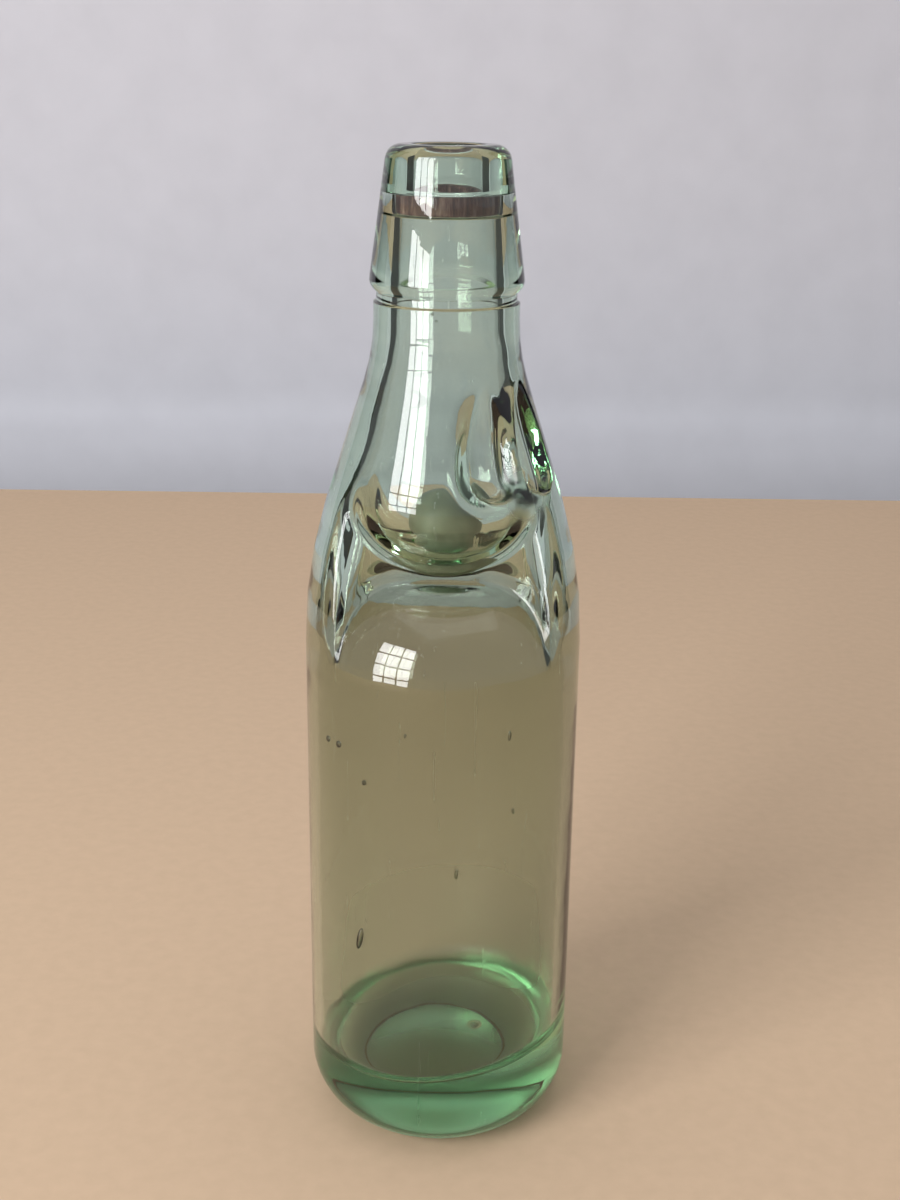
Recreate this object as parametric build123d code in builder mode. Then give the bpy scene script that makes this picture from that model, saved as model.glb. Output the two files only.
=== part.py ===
"""Marble stopper bottle: a pressed and blown soda bottle that a glass marble closes against a rubber ring.

Millimetres, Z up, origin at the middle of the base. The front pinch faces -Y.
"""

from build123d import *
import os
from math import atan, cos, radians, sin, sqrt, tan

os.makedirs("parts", exist_ok=True)

# Body and base
body_radius = 29.0
body_height = 127.4
body_wall = 2.8
heel_radius = 13.0
floor_height = 20.0
floor_drop = 2.5
floor_corner_radius = 4.0
foot_width = 0.8
push_up_height = 2.6
foot_rounding = 1.0

# Shoulder and neck
shoulder_height = 45.4
shoulder_sweep_radius = 100.0
chamber_wall = 4.5
neck_radius = 14.55
neck_sweep_radius = 40.0
neck_length = 9.5
neck_bore_radius = 9.5
bore_sweep_radius = 80.0
recess_depth = 0.55
recess_length = 1.9

# Collar and lip
collar_height = 28.0
collar_bottom_radius = 15.5
collar_bevel_height = 1.6
collar_top_radius = 11.9
collar_edge_rounding = 2.5
lip_rounding = 3.2
lip_bore_radius = 6.8
lip_bore_length = 9.1
bore_edge_rounding = 0.8

# Groove and rubber ring
groove_radius = 10.4
groove_height = 4.2
ring_bore_radius = 6.3
ring_clearance = 0.15
ring_rounding = 0.5

# Pinch, pressed in at the front and the back
pinch_distance = 11.4
pinch_side = 7.0
pinch_corner_radius = 12.0
pinch_reach = 24.0
pinch_height = 37.0
bowl_radius = 25.3
dome_drop = 0.3
dome_overlap = 0.8
throat_length = 2.1
rim_rounding = 0.7
nose_top_rounding = 4.2
nose_bottom_share = 0.18

# Two catches beside each other, pressed in on the right of the front
catch_radius = 5.4
catch_length = 18.0
catch_depth = 4.6
catch_rise = 24.1
catch_wall = 3.5
catch_azimuths = (28.0, 61.0)

# Marble
marble_radius = 8.05
marble_clearance = 0.3

# How far the tools of the cuts run past what they cut, and how nearly upright a wall's normal lies flat
overrun = 2.0
upright_share = 0.01

# Heights, from the base up
floor_edge_z = floor_height - floor_drop
neck_z = body_height + shoulder_height
recess_z = neck_z + neck_length
collar_z = recess_z + recess_length
bevel_z = collar_z + collar_bevel_height
top_z = collar_z + collar_height
groove_top_z = top_z - lip_bore_length
groove_z = groove_top_z - groove_height
ring_width = groove_radius - ring_clearance - ring_bore_radius

# The push-up underneath is the top of a ball, inside the flat ring that the bottle stands on
push_up_radius = body_radius - heel_radius - foot_width
push_up_ball_radius = (push_up_radius**2 + push_up_height**2) / (2 * push_up_height)

# The shoulder is a straight slope between two sweeps, and the chamber inside runs parallel to it
slope_angle = atan((body_radius - neck_radius) / shoulder_height)
slope_tangent = tan(slope_angle)
body_bore_radius = body_radius - body_wall
chamber_line_radius = body_radius - chamber_wall / cos(slope_angle)
chamber_start_z = body_height + (chamber_line_radius - body_bore_radius) / slope_tangent
chamber_end_z = body_height + (chamber_line_radius - neck_bore_radius) / slope_tangent

# Each pinch reaches nearly to the two sides, over a turned dome: a quarter round from the side to a flat top
pinch_half_width = body_radius - pinch_side
dome_radius = body_radius - pinch_distance + dome_overlap
dome_z = body_height - dome_drop
dome_spring_z = dome_z - dome_radius
rim_z = dome_z + throat_length
throat_z = (rim_z + dome_z) / 2

# The bowl under the chamber is a ball that meets the flat back of the pinch at the rim
bowl_z = rim_z + sqrt(bowl_radius**2 - pinch_distance**2)

# The marble rests on the rounded inner noses of the two pinches, which turn into the dome's lining below
nose_bottom_rounding = nose_bottom_share * (dome_radius - body_wall)
nose_distance = pinch_distance - chamber_wall + nose_top_rounding
nose_z = bowl_z - sqrt((bowl_radius - chamber_wall + nose_top_rounding) ** 2 - nose_distance**2)
marble_seat = marble_radius + nose_top_rounding + marble_clearance
marble_z = nose_z + sqrt(marble_seat**2 - nose_distance**2)


def corner(section, radius, height):
    """The corner of an outline nearest to this radius and height."""
    return section.vertices().sort_by_distance((radius, height))[0]


def wall_turns(tool, outer_y):
    """The edges where the upright back wall of a pinch turns into its floor and into its bowl."""
    walls = tool.faces().filter_by(lambda face: abs(face.normal_at().Z) < upright_share)
    back = walls.filter_by(lambda face: face.center().Y > outer_y)
    turns = back.edges().filter_by(Axis.Z, reverse=True)
    return turns.filter_by(lambda edge: edge.center().Z < dome_spring_z + pinch_height - overrun)


def pinch_tool(growth, dome_growth, rim_turn, floor_turn):
    """The space that the front pinch takes: an upright back with rounded ends, a bowl above, a dome below."""
    back_y = growth - pinch_distance
    half_width = pinch_half_width + growth
    end_radius = pinch_corner_radius + growth
    dome_y = dome_growth - body_radius
    dome_arc = dome_radius - dome_growth
    with BuildPart() as tool:
        with BuildSketch(Plane.XY.offset(dome_spring_z)) as plan:
            with Locations((0, back_y)):
                Rectangle(2 * half_width, pinch_reach, align=(Align.CENTER, Align.MAX))
            fillet(plan.vertices().group_by(Axis.Y)[-1], end_radius)
        extrude(amount=pinch_height)
        with Locations((0, 0, bowl_z)):
            Sphere(bowl_radius - growth, mode=Mode.SUBTRACT)
        with BuildSketch(Plane.YZ) as dome_section:
            with Locations((dome_y, dome_spring_z - overrun)):
                Rectangle(-dome_y, dome_arc + overrun, align=(Align.MIN, Align.MIN))
            fillet(corner(dome_section, dome_y, dome_spring_z + dome_arc), dome_arc)
        revolve(axis=Axis.Z, mode=Mode.SUBTRACT)
        turns = wall_turns(tool, back_y - end_radius)
        fillet(turns.filter_by(lambda edge: edge.center().Z < throat_z), floor_turn)
        turns = wall_turns(tool, back_y - end_radius)
        fillet(turns.filter_by(lambda edge: edge.center().Z > throat_z), rim_turn)
    return tool.part


def catch_tool(azimuth, growth):
    """The space that a catch takes: a ball drawn out to a point up the slope, so far round from the front."""
    radius = catch_radius + growth
    outward = Vector(sin(radians(azimuth)), -cos(radians(azimuth)), 0)
    upward = Vector(0, 0, 1)
    up_slope = upward * cos(slope_angle) - outward * sin(slope_angle)
    off_slope = upward * sin(slope_angle) + outward * cos(slope_angle)
    slope_radius = body_radius - catch_rise * slope_tangent
    mouth = outward * slope_radius + upward * (body_height + catch_rise)
    middle = mouth + off_slope * (catch_radius - catch_depth)
    with BuildPart() as tool:
        with BuildSketch(Plane(origin=middle, x_dir=off_slope, z_dir=off_slope.cross(up_slope))):
            with BuildLine():
                CenterArc((0, 0), radius, -90, 90)
                TangentArc((radius, 0), (0, catch_length + growth), tangent=(0, 1))
                Line((0, catch_length + growth), (0, -radius))
            make_face()
        revolve(axis=Axis(middle, up_slope))
    return tool.part


# The pinches as they show outside, and as they stand in the hollow with the glass round them
with BuildPart() as outer_pinches:
    add(pinch_tool(0, 0, rim_rounding, rim_rounding))
    mirror(about=Plane.XZ)

with BuildPart() as inner_pinches:
    add(pinch_tool(chamber_wall, body_wall, nose_top_rounding, nose_bottom_rounding))
    mirror(about=Plane.XZ)

# Hollow: body, chamber, neck, ring groove and lip bore, less the glass round each pinch and catch
with BuildPart() as hollow:
    with BuildSketch(Plane.XZ) as hollow_section:
        with BuildLine():
            TangentArc((0, floor_height), (body_bore_radius, floor_edge_z), tangent=(1, 0))
            Polyline(
                (body_bore_radius, floor_edge_z),
                (body_bore_radius, chamber_start_z),
                (neck_bore_radius, chamber_end_z),
                (neck_bore_radius, groove_z),
                (groove_radius, groove_z),
                (groove_radius, groove_top_z),
                (lip_bore_radius, groove_top_z),
                (lip_bore_radius, top_z + overrun),
                (0, top_z + overrun),
                (0, floor_height),
            )
        make_face()
        fillet(corner(hollow_section, body_bore_radius, floor_edge_z), floor_corner_radius)
        fillet(corner(hollow_section, body_bore_radius, chamber_start_z), shoulder_sweep_radius)
        fillet(corner(hollow_section, neck_bore_radius, chamber_end_z), bore_sweep_radius)
    revolve(axis=Axis.Z)
    add(inner_pinches.part, mode=Mode.SUBTRACT)
    for azimuth in catch_azimuths:
        add(catch_tool(azimuth, catch_wall), mode=Mode.SUBTRACT)

# Glass bottle: one piece, with the collar formed on its neck
with BuildPart() as glass_bottle:
    with BuildSketch(Plane.XZ) as outer_section:
        with BuildLine():
            Polyline(
                (0, 0),
                (body_radius, 0),
                (body_radius, body_height),
                (neck_radius, neck_z),
                (neck_radius, recess_z),
                (neck_radius - recess_depth, recess_z),
                (neck_radius - recess_depth, collar_z),
                (collar_bottom_radius, bevel_z),
                (collar_top_radius, top_z),
                (0, top_z),
                close=True,
            )
        make_face()
        fillet(corner(outer_section, body_radius, 0), heel_radius)
        fillet(corner(outer_section, body_radius, body_height), shoulder_sweep_radius)
        fillet(corner(outer_section, neck_radius, neck_z), neck_sweep_radius)
        fillet(corner(outer_section, collar_bottom_radius, bevel_z), collar_edge_rounding)
        fillet(corner(outer_section, collar_top_radius, top_z), lip_rounding)
    revolve(axis=Axis.Z)
    add(outer_pinches.part, mode=Mode.SUBTRACT)
    for azimuth in catch_azimuths:
        add(catch_tool(azimuth, 0), mode=Mode.SUBTRACT)
    with Locations((0, 0, push_up_height - push_up_ball_radius)):
        Sphere(push_up_ball_radius, mode=Mode.SUBTRACT)
    add(hollow.part, mode=Mode.SUBTRACT)
    rings = glass_bottle.edges().filter_by(GeomType.CIRCLE).group_by(Axis.Z)
    fillet(rings[-1].sort_by(SortBy.RADIUS)[0], bore_edge_rounding)
    rings = glass_bottle.edges().filter_by(GeomType.CIRCLE).group_by(Axis.Z)
    fillet(rings[0].sort_by(SortBy.RADIUS)[0], foot_rounding)
glass_bottle.part.label = "glass_bottle"
export_step(glass_bottle.part, "parts/glass_bottle.step")

# Stopper marble: a ball that lies on the two pinches until the gas lifts it to the ring
with BuildPart() as stopper_marble:
    with Locations((0, 0, marble_z)):
        Sphere(marble_radius)
stopper_marble.part.label = "stopper_marble"
export_step(stopper_marble.part, "parts/stopper_marble.step")

# Sealing ring: a rubber band of flat section in the groove inside the lip
with BuildPart() as sealing_ring:
    with BuildSketch(Plane.XZ) as ring_section:
        with Locations((ring_bore_radius, groove_z + ring_clearance)):
            Rectangle(ring_width, groove_height - 2 * ring_clearance, align=(Align.MIN, Align.MIN))
        fillet(ring_section.vertices(), ring_rounding)
    revolve(axis=Axis.Z)
sealing_ring.part.label = "sealing_ring"
export_step(sealing_ring.part, "parts/sealing_ring.step")
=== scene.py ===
"""Dresses the marble stopper bottle: its glass, marble and rubber ring, and the studio they stand in."""

from functools import reduce
from math import atan, cos, pi, radians, sin, sqrt, tan
from types import SimpleNamespace

import bpy
import numpy as np
from mathutils import Matrix, Vector


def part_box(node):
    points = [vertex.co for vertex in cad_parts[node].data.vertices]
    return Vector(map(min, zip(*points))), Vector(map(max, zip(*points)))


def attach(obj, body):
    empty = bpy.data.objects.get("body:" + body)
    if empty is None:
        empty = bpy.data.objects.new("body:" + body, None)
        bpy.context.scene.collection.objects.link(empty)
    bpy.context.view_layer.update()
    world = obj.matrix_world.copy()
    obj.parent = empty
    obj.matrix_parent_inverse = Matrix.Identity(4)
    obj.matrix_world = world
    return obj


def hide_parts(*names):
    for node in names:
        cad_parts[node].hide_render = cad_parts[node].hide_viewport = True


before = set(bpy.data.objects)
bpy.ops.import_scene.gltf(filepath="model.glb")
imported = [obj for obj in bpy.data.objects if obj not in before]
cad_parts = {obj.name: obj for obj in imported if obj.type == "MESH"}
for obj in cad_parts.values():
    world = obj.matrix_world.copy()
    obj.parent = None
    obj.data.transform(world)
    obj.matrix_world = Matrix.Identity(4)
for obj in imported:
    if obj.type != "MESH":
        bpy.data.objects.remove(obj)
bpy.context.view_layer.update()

bl_info = {
    "name": "Marble Stopper Bottle",
    "version": (1, 0, 0),
    "blender": (4, 5, 0),
    "location": "3D View > Sidebar > Bottle",
    "description": "Builds a glass soda bottle with a marble stopper round its packed model",
    "category": "Add Mesh",
}

MM = 0.001

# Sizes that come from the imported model, in millimetres
BOTTLE_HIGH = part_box("glass_bottle")[1]
MARBLE_LOW, MARBLE_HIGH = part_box("stopper_marble")
RING_LOW, RING_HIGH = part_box("sealing_ring")
BODY_RADIUS = BOTTLE_HIGH.x / MM
TOTAL_HEIGHT = BOTTLE_HIGH.z / MM
MARBLE_RADIUS = (MARBLE_HIGH.x - MARBLE_LOW.x) / 2 / MM
MARBLE_HEIGHT = (MARBLE_HIGH.z + MARBLE_LOW.z) / 2 / MM
RING_OUTER_RADIUS = RING_HIGH.x / MM
RING_BOTTOM = RING_LOW.z / MM
RING_TOP = RING_HIGH.z / MM


def size(name, description, millimetres):
    """A length that the user can change, kept in metres and given in millimetres."""
    return bpy.props.FloatProperty(
        name=name, description=description, default=millimetres * MM, min=0, unit="LENGTH", precision=5
    )


def turn(name, description, degrees):
    """An angle that the user can change, given in degrees."""
    return bpy.props.FloatProperty(
        name=name, description=description, default=radians(degrees), subtype="ANGLE"
    )


def strength(name, description, level):
    """A plain number of zero or more that the user can change."""
    return bpy.props.FloatProperty(name=name, description=description, default=level, min=0)


def colour(name, description, code):
    """A colour that the user can change, given as an sRGB hex value."""
    return bpy.props.FloatVectorProperty(
        name=name, description=description, default=linear(code), subtype="COLOR", min=0, max=1
    )


def linear(code):
    """Linear red, green and blue of an sRGB hex value such as "#8fb29c", by the sRGB curve."""
    shares = [int(code[place:place + 2], 16) / 255 for place in (1, 3, 5)]
    return [share / 12.92 if share <= 0.04045 else ((share + 0.055) / 1.055) ** 2.4 for share in shares]


class BottleSizes(bpy.types.PropertyGroup):
    """Sizes of the bottle glass."""

    body_height: size("Body height", "Height of the straight side, up to the shoulder's line", 127.4)
    body_wall: size("Body wall", "Thickness of the glass round the drink", 2.8)
    heel_radius: size("Heel rounding", "Rounding between the side and the foot", 13.0)
    floor_height: size("Floor height", "Height of the hollow's floor over the table, in its middle", 20.0)
    floor_drop: size("Floor drop", "How far the hollow's domed floor falls to the side", 2.5)
    floor_rounding: size("Floor rounding", "Rounding between the hollow's floor and its side", 4.0)
    foot_width: size("Foot width", "Width of the flat ring that the bottle stands on", 0.8)
    foot_rounding: size("Foot rounding", "Rounding of the foot's inner edge", 1.0)
    push_up: size("Push-up", "Depth of the hollow under the base", 2.6)
    shoulder_height: size("Shoulder height", "Height of the shoulder's line, from the body to the neck", 45.4)
    shoulder_sweep: size("Shoulder sweep", "Radius of the curve from the body into the shoulder", 100.0)
    neck_sweep: size("Neck sweep", "Radius of the curve from the shoulder into the neck", 40.0)
    neck_radius: size("Neck radius", "Outer radius of the neck", 14.55)
    neck_length: size("Neck length", "Height of the neck's straight part", 9.5)
    neck_bore: size("Neck bore", "Inner radius of the neck", 9.5)
    bore_sweep: size("Bore sweep", "Radius of the curve from the chamber into the neck bore", 80.0)
    chamber_wall: size("Chamber wall", "Thickness of the glass round the marble's chamber", 4.5)
    recess_depth: size("Recess depth", "Depth of the line under the collar", 0.55)
    recess_length: size("Recess length", "Height of the line under the collar", 1.9)
    collar_height: size("Collar height", "Height of the collar with the lip", 28.0)
    collar_radius: size("Collar radius", "Outer radius of the collar at its bottom", 15.5)
    collar_bevel: size("Collar bevel", "Height of the bevel under the collar", 1.6)
    collar_rounding: size("Collar rounding", "Rounding of the collar's lower edge", 2.5)
    lip_radius: size("Lip radius", "Outer radius of the lip at the top", 11.9)
    lip_rounding: size("Lip rounding", "Rounding of the lip's outer edge", 3.2)
    lip_bore: size("Lip bore", "Radius of the hole in the lip", 6.8)
    lip_bore_length: size("Lip bore length", "Height of the lip over the ring's groove", 9.1)
    lip_bore_rounding: size("Lip bore rounding", "Rounding of the hole's upper edge", 0.8)
    groove_radius: size("Groove radius", "Radius of the ring's groove", 10.4)
    groove_height: size("Groove height", "Height of the ring's groove", 4.2)
    turn_rounding: size("Turn rounding", "Rounding of the tool marks at the groove and the recess", 0.35)


class PinchSizes(bpy.types.PropertyGroup):
    """Sizes of the two pinches and the two catches."""

    distance: size("Distance", "From the bottle's axis to the back of a pinch", 11.4)
    half_width: size("Half width", "Half of a pinch's width", 22.0)
    end_rounding: size("End rounding", "Rounding of the two ends of a pinch", 12.0)
    bowl_radius: size("Bowl radius", "Radius of the bowl under the chamber", 25.3)
    dome_drop: size("Dome drop", "From the body's height down to the top of the dome", 0.3)
    dome_overlap: size("Dome overlap", "How far the dome's rounding runs in behind the back of a pinch", 0.8)
    throat_length: size("Throat length", "From the dome up to the bowl's rim", 2.1)
    rim_rounding: size("Rim rounding", "Rounding at the back of a pinch", 0.9)
    chin_rounding: size("Chin rounding", "Rounding of the edges of a pinch on the bottle's side", 3.0)
    nose_top: size("Nose top rounding", "Rounding of the seat that the marble lies on", 4.2)
    nose_bottom: size("Nose bottom rounding", "Rounding under the marble's seat", 2.8)
    catch_radius: size("Catch radius", "Radius of a catch's round end", 5.4)
    catch_length: size("Catch length", "From a catch's round end to its point", 18.0)
    catch_depth: size("Catch depth", "How far a catch is pressed in", 4.6)
    catch_rise: size("Catch rise", "From the body's height up to a catch", 24.1)
    catch_wall: size("Catch wall", "Thickness of the glass round a catch", 3.5)
    catch_rounding: size("Catch rounding", "Rounding of a catch's edge", 0.9)
    first_catch: turn("First catch", "Angle from the front to the nearer catch", 28)
    second_catch: turn("Second catch", "Angle from the front to the farther catch", 61)


class BottleFinish(bpy.types.PropertyGroup):
    """Colours and wear of the three materials."""

    glass_tint: colour("Glass tint", "Colour that the glass takes on where it is thick", "#72e198")
    glass_depth: strength("Glass depth", "How fast the tint builds up with thickness, per metre", 24.0)
    clear: colour("Clear glass", "What the bare glass lets through at each surface", "#eaeee8")
    film: colour("Film", "Colour of the scuffs and the dried film round the body", "#bdbfb0")
    haze: strength("Haze", "Roughness of the scoured glass low inside the body and under it", 0.38)
    marble: colour("Marble", "Colour of the marble", "#888b74")
    rubber: colour("Rubber", "Colour of the ring", "#54302a")
    # The paler streaks: partly worn rubber, partly painted highlight for the window's reflections on the
    # ridges
    rubber_wear_and_glint: colour("Worn rubber", "Colour of the ring where it is perished", "#8c6f64")
    ripple: size("Ripple", "How much the blown inside wall waves in and out", 0.16)
    floor_tilt: size("Floor tilt", "How much the floor rises from its middle to its right edge", 2.9)
    ring_bore: size("Ring bore", "Radius of the ring's hole", 6.3)
    ring_rounding: size("Ring rounding", "Rounding of the ring's edges", 0.5)


class StudioSettings(bpy.types.PropertyGroup):
    """The floor, the backdrop, the lamps and the camera."""

    floor: colour("Floor", "Colour of the floor", "#c4a98e")
    backdrop: colour("Backdrop", "Colour of the backdrop", "#cfced6")
    window_power: strength("Window", "Strength of each window pane", 1.75)
    ceiling_power: strength("Ceiling", "Strength of the ceiling lamp", 2.65)
    room_light: strength("Room", "Strength of the light from all round", 1.05)
    room_bright: colour("Room overhead", "Colour of the light from overhead", "#e3e6e9")
    card: colour("Dark cards", "Colour of the cards that draw the glass's dark edges", "#2c302c")
    room_dim: colour("Room sides", "Colour of the light from the sides", "#4a4d4a")


def millimetres(group):
    """The group's values with every length in millimetres."""
    values = {}
    for name in group.__annotations__:
        unit = group.bl_rna.properties[name].unit
        values[name] = getattr(group, name) / MM if unit == "LENGTH" else getattr(group, name)
    return SimpleNamespace(**values)


def shape_values():
    """Every size in millimetres, with the heights, slopes and radii that follow by sums and triangles."""
    b = millimetres(bpy.context.scene.bottle_sizes)
    p = millimetres(bpy.context.scene.pinch_sizes)
    b.neck_z = b.body_height + b.shoulder_height
    b.recess_z = b.neck_z + b.neck_length
    b.collar_z = b.recess_z + b.recess_length
    b.bevel_z = b.collar_z + b.collar_bevel
    b.groove_top_z = TOTAL_HEIGHT - b.lip_bore_length
    b.groove_z = b.groove_top_z - b.groove_height
    b.push_up_radius = BODY_RADIUS - b.heel_radius - b.foot_width
    b.slope = atan((BODY_RADIUS - b.neck_radius) / b.shoulder_height)
    b.body_bore = BODY_RADIUS - b.body_wall
    chamber_line = BODY_RADIUS - b.chamber_wall / cos(b.slope)
    b.chamber_start_z = b.body_height + (chamber_line - b.body_bore) / tan(b.slope)
    b.chamber_end_z = b.body_height + (chamber_line - b.neck_bore) / tan(b.slope)
    p.dome_radius = BODY_RADIUS - p.distance + p.dome_overlap
    p.dome_z = b.body_height - p.dome_drop
    p.rim_z = p.dome_z + p.throat_length
    p.bowl_z = p.rim_z + sqrt(p.bowl_radius**2 - p.distance**2)
    return b, p


def rounded_outline(corners, turn_step=0.14):
    """A profile of straight runs joined by arcs: each corner is (radius, height, rounding).

    An arc touches both runs and is cut into equal turns, so a run's ends are exact and lie on its line.
    """
    points = [np.array(corners[0][:2], float)]
    for before, here, after in zip(corners, corners[1:], corners[2:]):
        start, corner, end = (np.array(place[:2], float) for place in (before, here, after))
        rounding = here[2]
        inward = (start - corner) / np.linalg.norm(start - corner)
        onward = (end - corner) / np.linalg.norm(end - corner)
        half = np.arccos(np.clip(inward @ onward, -1, 1)) / 2
        if rounding == 0:
            points.append(corner)
            continue
        reach = rounding / np.tan(half)
        middle = corner + (inward + onward) / np.linalg.norm(inward + onward) * rounding / np.sin(half)
        first = corner + inward * reach - middle
        last = corner + onward * reach - middle
        turn = np.arctan2(first[0] * last[1] - first[1] * last[0], first @ last)
        steps = max(2, int(np.ceil(abs(turn) / turn_step)))
        angle = np.linspace(0, turn, steps + 1)
        sideways = [-first[1], first[0]]
        points.extend(np.outer(np.cos(angle), first) + np.outer(np.sin(angle), sideways) + middle)
    points.append(np.array(corners[-1][:2], float))
    return np.array(points)


def spread_points(points, longest):
    """The same profile with every run cut into equal pieces no longer than the given length."""
    lengths = np.linalg.norm(np.diff(points, axis=0), axis=1)
    points = points[np.concatenate(([True], lengths > 1e-6))]
    lengths = np.linalg.norm(np.diff(points, axis=0), axis=1)
    pieces = np.maximum(1, np.ceil(lengths / longest)).astype(int)
    start = np.repeat(np.arange(len(pieces)), pieces)
    share = (np.arange(pieces.sum()) - np.repeat(np.cumsum(pieces) - pieces, pieces)) / pieces[start]
    cut = points[start] + (points[start + 1] - points[start]) * share[:, None]
    return np.vstack((cut, points[-1]))


def meet(rounding, *fields):
    """Where all the fields are above zero, with the edge between them rounded.

    Each field is a signed distance. Near an edge, the rounding less each distance is squared and added up,
    and the root of that sum is taken from the rounding, so that the zero line there is a circle's arc.
    """
    low = reduce(np.minimum, fields)
    squares = sum(np.maximum(rounding - field, 0) ** 2 for field in fields)
    return np.maximum(low, rounding) - np.sqrt(squares)


def ease(value, start, end):
    """0 below start, 1 above end, and a smooth S between."""
    share = np.clip((value - start) / (end - start), 0, 1)
    return share * share * (3 - 2 * share)


def pinch_field(x, y, z, p, growth, dome_growth, rounding):
    """Above zero where a pinch takes the glass or the hollow away.

    That is behind its flat back with rounded ends, outside the bowl's ball, and above the turned dome.
    """
    across, along = np.abs(x), np.abs(y)
    plan = meet(p.end_rounding + growth, p.half_width + growth - across, along - p.distance + growth)
    bowl = np.sqrt(x * x + y * y + np.minimum(z - p.bowl_z, 0) ** 2) - (p.bowl_radius - growth)
    side = BODY_RADIUS - dome_growth - np.hypot(x, y)
    dome = -meet(p.dome_radius - dome_growth, side, p.dome_z - dome_growth - z)
    return meet(rounding, plan, bowl, dome)


def catch_field(x, y, z, b, p, angle, growth):
    """Above zero inside a catch: a ball below, drawn out along an arc to a point up the slope.

    Below, it is the ball's radius less the distance from its middle. Above, it is the same for the wide arc
    that starts along the ball's side and ends on the catch's own line at its length.
    """
    radius = p.catch_radius + growth
    length = p.catch_length + growth
    slope_radius = BODY_RADIUS - p.catch_rise * tan(b.slope)
    inset = p.catch_radius - p.catch_depth
    middle_radius = slope_radius + inset * cos(b.slope)
    middle_z = b.body_height + p.catch_rise + inset * sin(b.slope)
    out = x * sin(angle) - y * cos(angle) - middle_radius
    side = x * cos(angle) + y * sin(angle)
    up = z - middle_z
    along = up * cos(b.slope) - out * sin(b.slope)
    away = np.hypot(up * sin(b.slope) + out * cos(b.slope), side)
    arc = (length**2 + radius**2) / (2 * radius)
    tail = arc - np.hypot(away + arc - radius, along)
    ball = radius - np.hypot(away, along)
    return np.where(along > 0, tail, ball)


def side_field(x, y, z, profile):
    """Below zero inside a turned profile: the distance across the slope, from the radius at that height."""
    radius = np.interp(z, profile[:, 1], profile[:, 0])
    steepness = np.interp(z, profile[:, 1], np.gradient(profile[:, 0], profile[:, 1]))
    return (np.hypot(x, y) - radius) / np.sqrt(1 + steepness**2)


# The height round the dome's top in which a pinch's edge becomes round, and its rounding where it is sharp
CHIN_SPAN = (-16, 6)
SHARP = 0.01


def glass_field(x, y, z, b, p, profile):
    """Above zero outside the bottle, with its hollow taken as full of glass."""
    pinch = pinch_field(x, y, z, p, 0, 0, p.rim_rounding)
    rounding = p.chin_rounding * ease(z - p.dome_z, *CHIN_SPAN) + SHARP
    field = -meet(rounding, -side_field(x, y, z, profile), -pinch)
    for angle in (p.first_catch, p.second_catch):
        field = -meet(p.catch_rounding, -field, -catch_field(x, y, z, b, p, angle, 0))
    return field


def hollow_field(x, y, z, b, p, profile):
    """Above zero outside the hollow, which keeps its wall round each pinch and catch."""
    rounding = p.nose_bottom + (p.nose_top - p.nose_bottom) * ease(z, p.dome_z, p.rim_z)
    pinch = pinch_field(x, y, z, p, b.chamber_wall, b.body_wall, rounding)
    edge = p.chin_rounding * ease(z - p.dome_z, *CHIN_SPAN) + SHARP
    field = -meet(edge, -side_field(x, y, z, profile), -pinch)
    for angle in (p.first_catch, p.second_catch):
        field = -meet(2 * p.catch_rounding, -field, -catch_field(x, y, z, b, p, angle, p.catch_wall))
    return field


# How a wall that isn't round is found: the heights tried, and a ray's halvings and reach in body radii
HEIGHTS_TRIED = 1500
HALVINGS = 22
RAY_REACH = 1.3

# The ellipse that the rays leave: how it grows from the ends in millimetres, its length, flatness and least
ELLIPSE_START, ELLIPSE_END = (0, 12), (-34, -14)
ELLIPSE_LENGTH, ELLIPSE_FLATNESS, ELLIPSE_LEAST = 0.8, 0.75, 1e-4


def cast_wall(field, profile, b, p, low_z, high_z, rows):
    """Rows of points on a wall that isn't round, from low_z to high_z.

    At every height, rays leave a flat ellipse inside the wall, square to it, and each is halved in on where
    the field changes sign. At both ends the ellipse shrinks to the axis, so that the wall joins a turned one.
    """
    z = np.linspace(low_z, high_z, HEIGHTS_TRIED)[:, None]
    turn = np.linspace(0, 2 * pi, COLUMNS, endpoint=False)[None, :]
    radius = np.interp(z, profile[:, 1], profile[:, 0])
    span = ease(z - low_z, *ELLIPSE_START) * (1 - ease(z - high_z, *ELLIPSE_END))
    half_length = ELLIPSE_LENGTH * radius * span + ELLIPSE_LEAST
    half_width = half_length * (1 - ELLIPSE_FLATNESS * span)
    start_x, start_y = half_length * np.cos(turn), half_width * np.sin(turn)
    ray_x, ray_y = half_width * np.cos(turn), half_length * np.sin(turn)
    ray_length = np.hypot(ray_x, ray_y)
    ray_x, ray_y = ray_x / ray_length, ray_y / ray_length
    near = np.zeros_like(start_x)
    far = np.full_like(start_x, RAY_REACH * BODY_RADIUS)
    for _ in range(HALVINGS):
        middle = (near + far) / 2
        outside = field(start_x + ray_x * middle, start_y + ray_y * middle, z, b, p, profile) > 0
        far = np.where(outside, middle, far)
        near = np.where(outside, near, middle)
    wall = np.stack((start_x + ray_x * far, start_y + ray_y * far, z + 0 * far), axis=-1)
    return even_columns(wall, rows)


# How much a column's turning counts as length, in millimetres a radian, and how many of its points and of the
# columns to either side it is averaged over
SHARPEN = 6.0
TURN_WINDOW = 41
NEIGHBOURS = 2


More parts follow.
